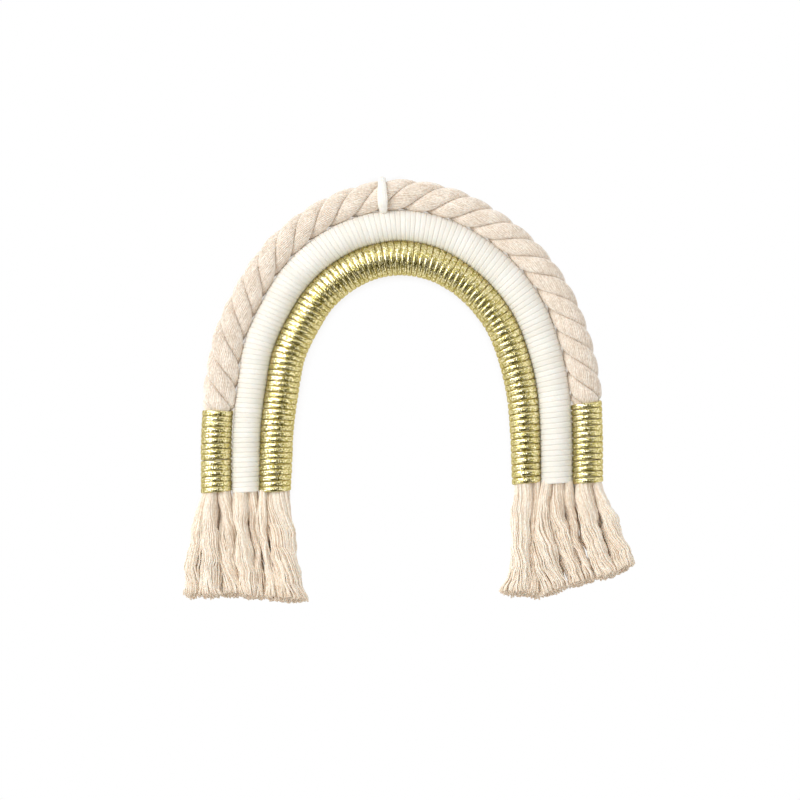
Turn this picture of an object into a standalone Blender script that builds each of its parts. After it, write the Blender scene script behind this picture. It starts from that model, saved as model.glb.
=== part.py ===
"""Rainbow wall hanging: three cotton ropes bent into nested arches, with their ends unravelled into fringes.

The outer rope is bare, with a gold wrap near each end. The middle rope is wound all over in white yarn and
the inner one in gold thread. A short cord loop round the top of the outer rope holds the hanging up.
Each rope, wrap and fringe is a solid of its wound or bundled form, in the shape in which it hangs.

The origin is the underside of the loop's crown. X runs right, Z up, and the front faces -Y. The centres of
the three ropes lie in the plane Y = 0. Lengths in this file are in millimetres until MM turns them to metres.
"""

import math
from collections import namedtuple

import bmesh
import bpy
from mathutils import Vector

MM = 0.001
GAP = 0.3  # kept between neighbours that touch on the real hanging

# The arches. One row for each place along the middle rope, from its left foot over the top to its right
# foot: its centre, the diameters there of the outer rope, the white wrap and the gold wrap, and how many
# seams of the twisted rope lie before it.
ArchRow = namedtuple("ArchRow", "x z rope white gold seams")
ARCH_ROWS = (
    ArchRow(-85.0, -202.5, 19.2, 16.8, 18.4, -4.8),
    ArchRow(-85.0, -177.5, 19.4, 17.2, 19.4, -3.0),
    ArchRow(-84.2, -152.5, 20.0, 17.2, 19.8, -1.2),
    ArchRow(-81.3, -127.5, 20.4, 17.6, 20.0, 0.5),
    ArchRow(-77.0, -103.2, 19.5, 18.3, 20.1, 2.2),
    ArchRow(-67.1, -80.7, 18.9, 18.7, 20.1, 4.0),
    ArchRow(-53.8, -59.7, 18.3, 19.2, 20.1, 5.8),
    ArchRow(-35.5, -43.0, 17.9, 19.3, 20.5, 7.6),
    ArchRow(-13.5, -32.0, 18.2, 19.2, 20.7, 9.4),
    ArchRow(11.5, -28.0, 18.8, 18.9, 20.8, 11.2),
    ArchRow(36.5, -32.5, 19.0, 18.9, 20.2, 13.1),
    ArchRow(58.5, -44.0, 18.6, 19.4, 19.2, 15.1),
    ArchRow(77.5, -60.5, 18.8, 20.0, 18.9, 17.0),
    ArchRow(92.0, -81.0, 18.9, 20.1, 18.8, 19.0),
    ArchRow(101.0, -104.0, 19.4, 20.0, 18.8, 20.9),
    ArchRow(106.5, -128.0, 19.6, 19.8, 18.6, 22.8),
    ArchRow(108.5, -153.0, 19.2, 19.7, 18.0, 24.8),
    ArchRow(109.0, -184.0, 18.8, 19.6, 17.3, 27.2),
    ArchRow(109.0, -199.5, 18.8, 19.6, 17.2, 28.4),
)
CROWN_ROW = 8.5  # the place between rows that divides the left side from the right
LEFT_FOOT = -194.7  # height at which the ropes end and their fringes start
RIGHT_FOOT = -189.0

# The outer rope's twist: three soft strands pressed together, in an S.
STRANDS = 3
STRAND_OFFSET_SHARE = 0.36  # from the rope's centre to a strand's, as a share of the rope's radius
POINTS_PER_STRAND = 5
SECTIONS_PER_TURN = 9

# The gold wraps on the ends of the outer rope, which is squeezed where they hold it.
LEFT_WRAP_TOP = -143.5
RIGHT_WRAP_TOP = -138.7
END_WRAP_DIAMETER = 19.0
END_WRAP_THICKNESS = 1.4
SQUEEZE_LENGTH = 4.0  # of rope above a wrap, over which it narrows
SQUEEZE_LEAD = 3.0  # of rope above a wrap that is already narrow, since the wrap's edge slants
END_WRAP_POINTS = 18
END_WRAP_SECTIONS = 4

ARCH_POINTS = 16
ARCH_SECTIONS = 50

# The hanging loop: a flat cord round the outer rope, snug at the front and slack at the back. It passes
# between the outer rope and the white wrap, which both give way to it. One row for each place on the
# cord's centre, measured from the rope's centre inside the loop.
LOOP_CENTRE_Z = -10.1
LOOP_WIDTH = 5.2
LOOP_THICKNESS = 2.8
LOOP_SECTIONS = 30
LOOP_POINTS = 8
LoopRow = namedtuple("LoopRow", "y z")
LOOP_ROWS = (
    LoopRow(0.0, -9.5),
    LoopRow(-4.6, -9.4),
    LoopRow(-8.8, -7.4),
    LoopRow(-11.2, -3.2),
    LoopRow(-11.2, 2.2),
    LoopRow(-8.6, 7.6),
    LoopRow(-4.4, 10.6),
    LoopRow(0.6, 11.5),
    LoopRow(6.0, 11.2),
    LoopRow(11.4, 9.0),
    LoopRow(15.4, 4.6),
    LoopRow(16.3, -1.0),
    LoopRow(13.8, -6.3),
    LoopRow(9.0, -9.2),
    LoopRow(4.4, -9.6),
)

# The fringes: each foot's three rope ends hang side by side, so four edges bound them. One row for each
# share of the way down, with the x of each edge there and the fringes' depth. An edge ends at its hem.
FringeRow = namedtuple("FringeRow", "share edge_1 edge_2 edge_3 edge_4 depth")
FringeHem = namedtuple("FringeHem", "edge_1 edge_2 edge_3 edge_4")
LEFT_FRINGE_ROWS = (
    FringeRow(0.00, -112.5, -93.2, -76.5, -57.2, 17.5),
    FringeRow(0.12, -114.2, -93.0, -77.0, -56.8, 18.6),
    FringeRow(0.26, -118.0, -92.2, -77.6, -55.8, 19.0),
    FringeRow(0.43, -121.8, -90.6, -77.6, -54.0, 18.8),
    FringeRow(0.60, -123.0, -89.0, -76.4, -52.0, 18.2),
    FringeRow(0.80, -123.0, -87.4, -73.8, -48.8, 17.2),
    FringeRow(1.00, -122.0, -86.6, -74.2, -46.6, 15.5),
)
LEFT_HEM = FringeHem(-259.5, -258.5, -260.5, -262.5)
RIGHT_FRINGE_ROWS = (
    FringeRow(0.00, 82.2, 98.8, 119.8, 137.4, 17.5),
    FringeRow(0.12, 81.2, 97.2, 120.2, 138.8, 18.6),
    FringeRow(0.26, 80.6, 94.8, 121.0, 142.0, 19.0),
    FringeRow(0.43, 80.6, 93.8, 122.6, 147.2, 18.8),
    FringeRow(0.60, 80.0, 93.4, 125.2, 151.2, 18.2),
    FringeRow(0.80, 77.8, 93.8, 128.8, 155.6, 17.2),
    FringeRow(1.00, 75.0, 96.8, 132.0, 157.5, 15.5),
)
RIGHT_HEM = FringeHem(-257.0, -259.5, -247.5, -239.5)

# Each fringe is two bundles of yarns with a crease between them: the share of its width at which the
# crease starts under the rope, and at which it meets the hem.
Crease = namedtuple("Crease", "neck hem")
LEFT_FRINGES = (
    ("fringe_left_outer", Crease(0.49, 0.62)),
    ("fringe_left_middle", Crease(0.62, 0.78)),
    ("fringe_left_inner", Crease(0.26, 0.32)),
)
RIGHT_FRINGES = (
    ("fringe_right_inner", Crease(0.80, 0.84)),
    ("fringe_right_middle", Crease(0.16, 0.60)),
    ("fringe_right_outer", Crease(0.62, 0.42)),
)
NECK_GAP = 0.5  # between a rope's cut end and its fringe
CREASE_DEPTH = 2.6
CREASE_HALF_WIDTH = 3.0
FRINGE_POINTS = 16
FRINGE_SECTIONS = 10


def row_between(rows, place, closed=False):
    """The row at a place between rows, 0 being the first, on a smooth curve through them all."""
    last = len(rows) - 1
    start = math.floor(place) if closed else min(max(math.floor(place), 0), last - 1)
    t = place - start
    if closed:
        near = [rows[(start + step) % len(rows)] for step in (-1, 0, 1, 2)]
    else:
        near = [rows[min(max(start + step, 0), last)] for step in (-1, 0, 1, 2)]
    return type(rows[0])(
        *(
            b + 0.5 * t * (c - a + t * (2 * a - 5 * b + 4 * c - d + t * (3 * b - a - 3 * c + d)))
            for a, b, c, d in zip(*near)
        )
    )


def arch_at(place):
    """The arches' row at a place, with the middle rope's centre and the direction out of the arch there."""
    row = row_between(ARCH_ROWS, place)
    step = 0.01
    ahead = row_between(ARCH_ROWS, place + step)
    behind = row_between(ARCH_ROWS, place - step)
    along = Vector((ahead.x - behind.x, 0, ahead.z - behind.z)).normalized()
    return row, Vector((row.x, 0, row.z)), Vector((-along.z, 0, along.x))


def place_at_height(height, left):
    """The place on the left or the right side where the middle rope's centre is at this height."""
    low, high = (0.0, CROWN_ROW) if left else (len(ARCH_ROWS) - 1.0, CROWN_ROW)
    for _ in range(40):
        middle = (low + high) / 2
        if row_between(ARCH_ROWS, middle).z < height:
            low = middle
        else:
            high = middle
    return (low + high) / 2


def places(start, end, sections):
    return [start + (end - start) * index / sections for index in range(sections + 1)]


def ring(centre, outward, angles, radii):
    """Points round a rope: angle 0 faces out of the arch, and a quarter turn on faces the front."""
    front = Vector((0, -1, 0))
    return [
        centre + radius * (math.cos(angle) * outward + math.sin(angle) * front)
        for angle, radius in zip(angles, radii)
    ]


def round_ring(centre, outward, radius, count):
    angles = [2 * math.pi * index / count for index in range(count)]
    return ring(centre, outward, angles, [radius] * count)


def fabric(name, colour, roughness, metallic=0.0):
    material = bpy.data.materials.new(name)
    material.use_nodes = True
    shader = material.node_tree.nodes["Principled BSDF"]
    shader.inputs["Base Color"].default_value = (*colour, 1.0)
    shader.inputs["Roughness"].default_value = roughness
    shader.inputs["Metallic"].default_value = metallic
    return material


def skin(name, rings, material, parent, location=(0, 0, 0), closed=False):
    """An object whose surface joins each ring of points to the next, and the last to the first if closed."""
    shape = bmesh.new()
    loops = [[shape.verts.new(point * MM) for point in points] for points in rings]
    pairs = list(zip(loops, loops[1:]))
    if closed:
        pairs.append((loops[-1], loops[0]))
    else:
        shape.faces.new(loops[0])
        shape.faces.new(reversed(loops[-1]))
    for one, other in pairs:
        for index, corner in enumerate(one):
            after = (index + 1) % len(one)
            shape.faces.new((corner, other[index], other[after], one[after]))
    bmesh.ops.recalc_face_normals(shape, faces=shape.faces)
    mesh = bpy.data.meshes.new(name)
    shape.to_mesh(mesh)
    shape.free()
    mesh.shade_smooth()
    mesh.set_sharp_from_angle(angle=math.radians(50))
    mesh.materials.append(material)
    made = bpy.data.objects.new(name, mesh)
    bpy.context.scene.collection.objects.link(made)
    made.parent = parent
    made.location = Vector(location) * MM
    return made


def rope_centre(row, middle, outward):
    return middle + outward * ((row.white + row.rope) / 2 + GAP)


def gold_centre(row, middle, outward):
    return middle - outward * ((row.white + row.gold) / 2 + GAP)


def squeeze(height, left):
    """How far the outer rope is pressed round by the wrap at its end, from 0 to 1."""
    narrow = (LEFT_WRAP_TOP if left else RIGHT_WRAP_TOP) + SQUEEZE_LEAD
    share = min(max((narrow + SQUEEZE_LENGTH - height) / SQUEEZE_LENGTH, 0.0), 1.0)
    return share * share * (3 - 2 * share)


def twisted_ring(place):
    """The outer rope's section: three lobes that turn as the rope goes on, round where a wrap holds it."""
    row, middle, outward = arch_at(place)
    count = STRANDS * POINTS_PER_STRAND
    lobe = 2 * math.pi / STRANDS
    first_seam = math.pi / 2 - lobe * row.seams
    offset = STRAND_OFFSET_SHARE
    held = squeeze(row.z, left=place < CROWN_ROW)
    angles = [first_seam + 2 * math.pi * index / count for index in range(count)]
    radii = []
    for index in range(count):
        from_strand = lobe * ((index % POINTS_PER_STRAND) / POINTS_PER_STRAND - 0.5)
        reach = math.sqrt((1 - offset) ** 2 - (offset * math.sin(from_strand)) ** 2)
        free_radius = row.rope / 2 * (offset * math.cos(from_strand) + reach)
        held_radius = END_WRAP_DIAMETER / 2 - END_WRAP_THICKNESS - GAP
        radii.append(free_radius + (held_radius - free_radius) * held)
    return ring(rope_centre(row, middle, outward), outward, angles, radii)


def outer_rope(parent):
    start = place_at_height(LEFT_FOOT, left=True)
    end = place_at_height(RIGHT_FOOT, left=False)
    seams = row_between(ARCH_ROWS, end).seams - row_between(ARCH_ROWS, start).seams
    sections = round(seams / STRANDS * SECTIONS_PER_TURN)
    rings = [twisted_ring(place) for place in places(start, end, sections)]
    return skin("outer_rope", rings, fabric("blush_cotton", (0.83, 0.72, 0.63), 0.9), parent)


def wound_arch(name, diameter, centre_of, material, parent):
    """A rope wound all over, from foot to foot. diameter names its column and centre_of places it."""
    start = place_at_height(LEFT_FOOT, left=True)
    end = place_at_height(RIGHT_FOOT, left=False)
    rings = []
    for place in places(start, end, ARCH_SECTIONS):
        row, middle, outward = arch_at(place)
        radius = getattr(row, diameter) / 2
        rings.append(round_ring(centre_of(row, middle, outward), outward, radius, ARCH_POINTS))
    return skin(name, rings, material, parent)


def end_wrap(name, left, material, parent):
    """A sleeve of gold thread round the end of the outer rope."""
    top, foot = (LEFT_WRAP_TOP, LEFT_FOOT) if left else (RIGHT_WRAP_TOP, RIGHT_FOOT)
    outside, inside = [], []
    for place in places(place_at_height(top, left), place_at_height(foot, left), END_WRAP_SECTIONS):
        row, middle, outward = arch_at(place)
        centre = rope_centre(row, middle, outward)
        radius = END_WRAP_DIAMETER / 2
        outside.append(round_ring(centre, outward, radius, END_WRAP_POINTS))
        inside.append(round_ring(centre, outward, radius - END_WRAP_THICKNESS, END_WRAP_POINTS))
    return skin(name, outside + inside[::-1], material, parent, closed=True)


def loop_rings(extra=0.0):
    """Sections along the loop's cord, made fatter all round by extra."""
    rings = []
    for index in range(LOOP_SECTIONS):
        place = len(LOOP_ROWS) * index / LOOP_SECTIONS
        row = row_between(LOOP_ROWS, place, closed=True)
        ahead = row_between(LOOP_ROWS, place + 0.01, closed=True)
        behind = row_between(LOOP_ROWS, place - 0.01, closed=True)
        along = Vector((0, ahead.y - behind.y, ahead.z - behind.z)).normalized()
        across = Vector((0, -along.z, along.y))
        rings.append([])
        for corner in range(LOOP_POINTS):
            angle = 2 * math.pi * corner / LOOP_POINTS
            sideways = Vector((1, 0, 0)) * (LOOP_WIDTH / 2 + extra) * math.cos(angle)
            through = across * (LOOP_THICKNESS / 2 + extra) * math.sin(angle)
            rings[-1].append(Vector((0, row.y, row.z)) + sideways + through)
    return rings


def hanging_loop(parent, held_between):
    """The loop's cord, and the channel that it presses into the two pieces that it passes between."""
    material = fabric("loop_cord", (0.93, 0.92, 0.88), 0.85)
    at = (0, 0, LOOP_CENTRE_Z)
    skin("hanging_loop", loop_rings(), material, parent, location=at, closed=True)
    channel = skin("loop_channel", loop_rings(GAP), material, parent, location=at, closed=True)
    channel.hide_render = True
    channel.display_type = "WIRE"
    for piece in held_between:
        cut = piece.modifiers.new("loop channel", "BOOLEAN")
        cut.operation = "DIFFERENCE"
        cut.solver = "EXACT"
        cut.object = channel


def fringe(name, number, crease, rows, hem, foot, material, parent):
    """One rope's unravelled end, between its edge number and the next. Its sections slant with the hem."""
    top = foot - NECK_GAP
    rings = []
    for index in range(FRINGE_SECTIONS + 1):
        share = index / FRINGE_SECTIONS
        place = 0
        while place < len(rows) - 2 and rows[place + 1].share < share:
            place += 1
        place += (share - rows[place].share) / (rows[place + 1].share - rows[place].share)
        row = row_between(rows, place)
        left_x, right_x = row[number] + GAP / 2, row[number + 1] - GAP / 2
        left_z = top + (hem[number - 1] - top) * share
        right_z = top + (hem[number] - top) * share
        crease_x = left_x + (right_x - left_x) * (crease.neck + (crease.hem - crease.neck) * share)
        rings.append([])
        for corner in range(FRINGE_POINTS):
            angle = 2 * math.pi * corner / FRINGE_POINTS
            across = 0.5 - 0.5 * math.cos(angle)
            x = left_x + (right_x - left_x) * across
            y = -row.depth / 2 * math.sin(angle)
            if y < 0:
                y += min(-y, CREASE_DEPTH * math.exp(-(((x - crease_x) / CREASE_HALF_WIDTH) ** 2)))
            z = left_z + (right_z - left_z) * across - foot
            rings[-1].append(Vector((x, y, z)))
    return skin(name, rings, material, parent, location=(0, 0, foot))


def build():
    for leftover in list(bpy.data.objects):
        bpy.data.objects.remove(leftover)
    hanging = bpy.data.objects.new("hanging", None)
    bpy.context.scene.collection.objects.link(hanging)

    gold = fabric("gold_thread", (0.62, 0.52, 0.16), 0.3, metallic=1.0)
    white = fabric("white_yarn", (0.95, 0.94, 0.90), 0.85)
    unravelled = fabric("fringe_cotton", (0.85, 0.75, 0.66), 0.9)

    rope = outer_rope(hanging)
    middle_arch = wound_arch("white_wrap", "white", lambda row, middle, outward: middle, white, hanging)
    wound_arch("gold_wrap", "gold", gold_centre, gold, hanging)
    end_wrap("left_end_wrap", True, gold, hanging)
    end_wrap("right_end_wrap", False, gold, hanging)
    hanging_loop(hanging, (rope, middle_arch))
    for fringes, rows, hem, foot in (
        (LEFT_FRINGES, LEFT_FRINGE_ROWS, LEFT_HEM, LEFT_FOOT),
        (RIGHT_FRINGES, RIGHT_FRINGE_ROWS, RIGHT_HEM, RIGHT_FOOT),
    ):
        for number, (name, crease) in enumerate(fringes, start=1):
            fringe(name, number, crease, rows, hem, foot, unravelled, hanging)


build()
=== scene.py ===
import math
from collections import namedtuple

import bpy
import numpy as np
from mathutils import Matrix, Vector


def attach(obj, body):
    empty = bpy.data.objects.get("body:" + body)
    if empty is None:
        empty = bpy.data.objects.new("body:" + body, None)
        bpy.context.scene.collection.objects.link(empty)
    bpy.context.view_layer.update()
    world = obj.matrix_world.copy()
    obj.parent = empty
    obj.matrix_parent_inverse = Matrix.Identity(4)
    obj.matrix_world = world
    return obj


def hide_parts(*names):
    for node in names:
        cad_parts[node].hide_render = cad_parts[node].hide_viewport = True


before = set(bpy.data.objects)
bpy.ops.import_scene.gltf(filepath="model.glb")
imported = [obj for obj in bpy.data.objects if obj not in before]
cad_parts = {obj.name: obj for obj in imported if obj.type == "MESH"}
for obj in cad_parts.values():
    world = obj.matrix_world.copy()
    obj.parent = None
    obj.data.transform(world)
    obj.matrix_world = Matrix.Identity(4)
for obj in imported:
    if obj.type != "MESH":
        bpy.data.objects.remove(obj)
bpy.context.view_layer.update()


# ---------------------------------------------------------------------------------------------------------
# Outer rope. The outermost arch is one length of thick cotton rope in a pale blush: three soft strands laid
# in an S, each spun the other way out of some thirty yarns, so that its yarns run along the rope. It is
# stitched to the arch inside it, and its ends are squeezed together where the gold wraps hold them.

MM = 0.001
GAP = 0.3 * MM  # between one rope and the next
LINE_POINTS = 3000  # worked out along each rope's route

# The arches' route, as the solids have it: places along the middle rope from its left foot over the top to
# its right foot, with the three ropes' diameters there and how many seams of the twisted rope lie before.
ROUTE_COLUMNS = ("x", "z", "rope", "white", "gold", "seams")
ROUTE = np.array(
    (
        (-85.0, -202.5, 19.2, 16.8, 18.4, -4.8),
        (-85.0, -177.5, 19.4, 17.2, 19.4, -3.0),
        (-84.2, -152.5, 20.0, 17.2, 19.8, -1.2),
        (-81.3, -127.5, 20.4, 17.6, 20.0, 0.5),
        (-77.0, -103.2, 19.5, 18.3, 20.1, 2.2),
        (-67.1, -80.7, 18.9, 18.7, 20.1, 4.0),
        (-53.8, -59.7, 18.3, 19.2, 20.1, 5.8),
        (-35.5, -43.0, 17.9, 19.3, 20.5, 7.6),
        (-13.5, -32.0, 18.2, 19.2, 20.7, 9.4),
        (11.5, -28.0, 18.8, 18.9, 20.8, 11.2),
        (36.5, -32.5, 19.0, 18.9, 20.2, 13.1),
        (58.5, -44.0, 18.6, 19.4, 19.2, 15.1),
        (77.5, -60.5, 18.8, 20.0, 18.9, 17.0),
        (92.0, -81.0, 18.9, 20.1, 18.8, 19.0),
        (101.0, -104.0, 19.4, 20.0, 18.8, 20.9),
        (106.5, -128.0, 19.6, 19.8, 18.6, 22.8),
        (108.5, -153.0, 19.2, 19.7, 18.0, 24.8),
        (109.0, -184.0, 18.8, 19.6, 17.3, 27.2),
        (109.0, -199.5, 18.8, 19.6, 17.2, 28.4),
    )
) * (MM, MM, MM, MM, MM, 1)
CROWN_ROW = 8.5  # the place between rows that divides the left side from the right
LEFT_FOOT = -194.7 * MM
RIGHT_FOOT = -189.0 * MM


def smooth_through(rows, place):
    """Rows between the given ones, on a smooth curve through them all. Place 0 is the first row."""
    last = len(rows) - 1
    start = np.clip(np.floor(place).astype(int), 0, last - 1)
    t = (place - start)[:, None]
    a, b, c, d = (rows[np.clip(start + step, 0, last)] for step in (-1, 0, 1, 2))
    return b + 0.5 * t * (c - a + t * (2 * a - 5 * b + 4 * c - d + t * (3 * b - a - 3 * c + d)))


def rope_line(diameter, side):
    """One rope's centre line from foot to foot. side is 1 outside the middle rope, 0 for it, -1 inside."""
    place = np.linspace(0, len(ROUTE) - 1, LINE_POINTS)
    row = dict(zip(ROUTE_COLUMNS, smooth_through(ROUTE, place).T))
    along = np.gradient(np.stack((row["x"], row["z"])), axis=1)
    along /= np.linalg.norm(along, axis=0)
    out_x, out_z = -along[1], along[0]
    step = side * ((row["white"] + row[diameter]) / 2 + GAP)
    x, z = row["x"] + out_x * step, row["z"] + out_z * step
    on_rope = row["z"] >= np.where(place < CROWN_ROW, LEFT_FOOT, RIGHT_FOOT)
    length = np.cumsum(np.hypot(np.diff(x, prepend=x[0]), np.diff(z, prepend=z[0])))
    bend = -np.gradient(np.unwrap(np.arctan2(along[1], along[0]))) / np.gradient(length)
    line = {
        "x": x, "z": z, "out_x": out_x, "out_z": out_z, "bend": bend,
        "radius": row[diameter] / 2, "seams": row["seams"], "length": length - length[on_rope][0],
    }
    return {column: values[on_rope] for column, values in line.items()}


def at_length(line, length):
    """What a rope's line holds at these lengths along it."""
    return {column: np.interp(length, line["length"], line[column]) for column in line}


def round_rope(here, angle, radius):
    """Points round a rope. Angle 0 faces out of the arch, and a quarter turn on faces the front."""
    outward = radius * np.cos(angle)
    x = here["x"][:, None] + here["out_x"][:, None] * outward
    z = here["z"][:, None] + here["out_z"][:, None] * outward
    return np.stack((x, -radius * np.sin(angle) + 0 * x, z), -1)


def ease(share):
    """From 0 to 1 with a soft start and a soft end."""
    return share * share * (3 - 2 * share)


def wander(dice, places, spacing):
    """A smooth random value from -1 to 1 at each place. It changes course once in each spacing."""
    step = (places - places.min()) / spacing
    knots = dice.uniform(-1, 1, int(step.max()) + 3)
    start = step.astype(int)
    t = ease(step - start)
    return knots[start] * (1 - t) + knots[start + 1] * t


def turn_round_yarn(mesh, points):
    """Each face corner's vertex, and its share of a turn round its yarn: 1, not 0, where a ring closes."""
    corner = np.empty(len(mesh.loops), np.int32)
    mesh.loops.foreach_get("vertex_index", corner)
    around = (corner % points).astype(float)
    first = np.empty(len(mesh.polygons), np.int32)
    sides = np.empty(len(mesh.polygons), np.int32)
    mesh.polygons.foreach_get("loop_start", first)
    mesh.polygons.foreach_get("loop_total", sides)
    quads = first[sides == 4][:, None] + np.arange(4)
    closing = quads[(around[quads].max(1) == points - 1) & (around[quads].min(1) == 0)]
    around[closing[around[closing] == 0]] = points
    return corner, around / points


SMOOTH_BELOW = math.radians(60)  # between two faces: sharper edges, as at a cut end, stay sharp


def draw_yarns(name, rings, along, tone):
    """Closed tubes through rings[yarn, section, point]: a circle is drawn out, arrayed and put in place.

    along is how far down its yarn each ring lies. The UV map "lay" runs once round each yarn and, in
    metres, along it. The attribute "tone" runs from 0 on the palest yarns to 1 on the deepest, and also
    carries painted shade where the callers make seams, cut ends or a winding's core deeper.
    """
    yarns, sections, points = rings.shape[:3]
    bpy.ops.object.select_all(action="DESELECT")
    bpy.ops.mesh.primitive_circle_add(vertices=points, radius=1)
    made = bpy.context.object
    made.name = made.data.name = name
    draw_out = made.modifiers.new("draw out", "SCREW")
    draw_out.angle = 0
    draw_out.screw_offset = sections
    draw_out.steps = draw_out.render_steps = sections - 1
    draw_out.use_merge_vertices = False
    bpy.ops.object.modifier_apply(modifier=draw_out.name)
    bpy.ops.object.mode_set(mode="EDIT")
    bpy.ops.mesh.select_all(action="SELECT")
    bpy.ops.mesh.fill_holes(sides=0)
    bpy.ops.object.mode_set(mode="OBJECT")
    if yarns > 1:
        array = made.modifiers.new("yarns", "ARRAY")
        array.count = yarns
        bpy.ops.object.modifier_apply(modifier=array.name)
    mesh = made.data
    mesh.vertices.foreach_set("co", rings.astype(np.float32).ravel())
    corner, around = turn_round_yarn(mesh, points)
    lay = mesh.uv_layers[0] if mesh.uv_layers else mesh.uv_layers.new(name="lay")
    lay.name = "lay"
    uv = np.stack((around, along.ravel()[corner // points]), 1)
    lay.data.foreach_set("uv", uv.astype(np.float32).ravel())
    shades = mesh.attributes.new("tone", "FLOAT", "POINT")
    shades.data.foreach_set("value", np.broadcast_to(tone, rings.shape[:3]).astype(np.float32).ravel())
    bpy.ops.object.mode_set(mode="EDIT")
    bpy.ops.mesh.select_all(action="SELECT")
    bpy.ops.mesh.normals_make_consistent(inside=False)
    bpy.ops.object.mode_set(mode="OBJECT")
    bpy.ops.object.shade_smooth_by_angle(angle=SMOOTH_BELOW)
    return made


def join(name, parts):
    """One object, with the name given, made of all the parts."""
    bpy.ops.object.select_all(action="DESELECT")
    for part in parts:
        part.select_set(True)
    bpy.context.view_layer.objects.active = parts[0]
    bpy.ops.object.join()
    joined = bpy.context.object
    joined.name = joined.data.name = name
    return joined


def feed(tree, made, sockets):
    """Give each named or numbered input of a node its value, or the output that feeds it."""
    for socket, value in sockets.items():
        if isinstance(value, bpy.types.NodeSocket):
            tree.links.new(value, made.inputs[socket])
        else:
            made.inputs[socket].default_value = value


def node(tree, kind, sockets, **settings):
    """A new shader node with these inputs and settings."""
    made = tree.nodes.new("ShaderNode" + kind)
    for setting, value in settings.items():
        setattr(made, setting, value)
    feed(tree, made, sockets)
    return made


def maths(tree, operation, *values):
    """What a Math node works out from numbers or other nodes' outputs."""
    return node(tree, "Math", dict(enumerate(values)), operation=operation).outputs[0]


def remap(tree, value, old, new, **settings):
    """A value moved from its old range to a new one. Each range is its two ends."""
    ends = {"From Min": old[0], "From Max": old[1], "To Min": new[0], "To Max": new[1]}
    return node(tree, "MapRange", {"Value": value, **ends}, **settings).outputs[0]


def mixed(tree, factor, a, b, kind="FLOAT"):
    """a where factor is 0 and b where it is 1. Each is a number or an output."""
    return node(tree, "Mix", {"Factor": factor, "A": a, "B": b}, data_type=kind).outputs["Result"]


def mixed_colour(tree, factor, *colours):
    """The same between two colours. Each is RGB or an output."""
    a, b = (colour if isinstance(colour, bpy.types.NodeSocket) else (*colour, 1) for colour in colours)
    return mixed(tree, factor, a, b, "RGBA")


def new_material(name):
    """A material, its nodes and the shader among them."""
    material = bpy.data.materials.new(name)
    material.use_nodes = True
    return material, material.node_tree, material.node_tree.nodes["Principled BSDF"]


def new_group(name, inputs, outputs):
    """An empty node group, with its group input node and a function that joins up its outputs."""
    group = bpy.data.node_groups.new(name, "ShaderNodeTree")
    for socket, kind in inputs.items():
        group.interface.new_socket(socket, in_out="INPUT", socket_type="NodeSocket" + kind)
    for socket, kind in outputs.items():
        group.interface.new_socket(socket, in_out="OUTPUT", socket_type="NodeSocket" + kind)
    given = group.nodes.new("NodeGroupInput")
    result = group.nodes.new("NodeGroupOutput")

    def put_out(**values):
        for socket, value in values.items():
            group.links.new(value, result.inputs[socket])

    return group, given.outputs, put_out


GRAIN = 640.0  # specks of uneven fibre to the metre
MOTTLE = 130.0  # and softer patches to the metre


def spun_fibre_group():
    """Fibres in a spun yarn: fine streaks that run along it with a slant, a grain, and softer mottling."""
    group, given, put_out = new_group(
        "spun fibre",
        {"Lay": "Vector", "Girth": "Float", "Fineness": "Float", "Slant": "Float", "Shortness": "Float",
         "Yarn": "Float"},
        {"Height": "Float", "Grain": "Float", "Mottle": "Float"},
    )

    def noise(place, **sockets):
        sockets = {"Vector": place, "W": given["Yarn"], **sockets}
        return node(group, "TexNoise", sockets, noise_dimensions="4D").outputs[0]

    lay = node(group, "SeparateXYZ", {0: given["Lay"]}).outputs
    slanted = maths(group, "MULTIPLY_ADD", lay[1], given["Slant"], lay[0])
    turn = maths(group, "MULTIPLY", slanted, 2 * math.pi)
    reach = maths(group, "MULTIPLY", given["Girth"], 1 / (2 * math.pi))
    across = maths(group, "MULTIPLY", maths(group, "COSINE", turn), reach)
    through = maths(group, "MULTIPLY", maths(group, "SINE", turn), reach)
    drawn = maths(group, "MULTIPLY", lay[1], given["Shortness"])
    long_fibre = node(group, "CombineXYZ", {0: across, 1: through, 2: drawn}).outputs[0]
    surface = node(group, "CombineXYZ", {0: across, 1: through, 2: lay[1]}).outputs[0]
    put_out(
        Height=noise(long_fibre, Scale=given["Fineness"], Detail=3.0, Roughness=0.6),
        Grain=noise(surface, Scale=GRAIN, Detail=0.0),
        Mottle=noise(surface, Scale=MOTTLE, Detail=2.0),
    )
    return group


SPUN_FIBRE = spun_fibre_group()
FIBRES_APART = 50.0  # how far unlike the palest and the deepest yarn's fibres are
NOISE_RANGE = (0.3, 0.7)  # in which nearly all of a noise's values lie


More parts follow.
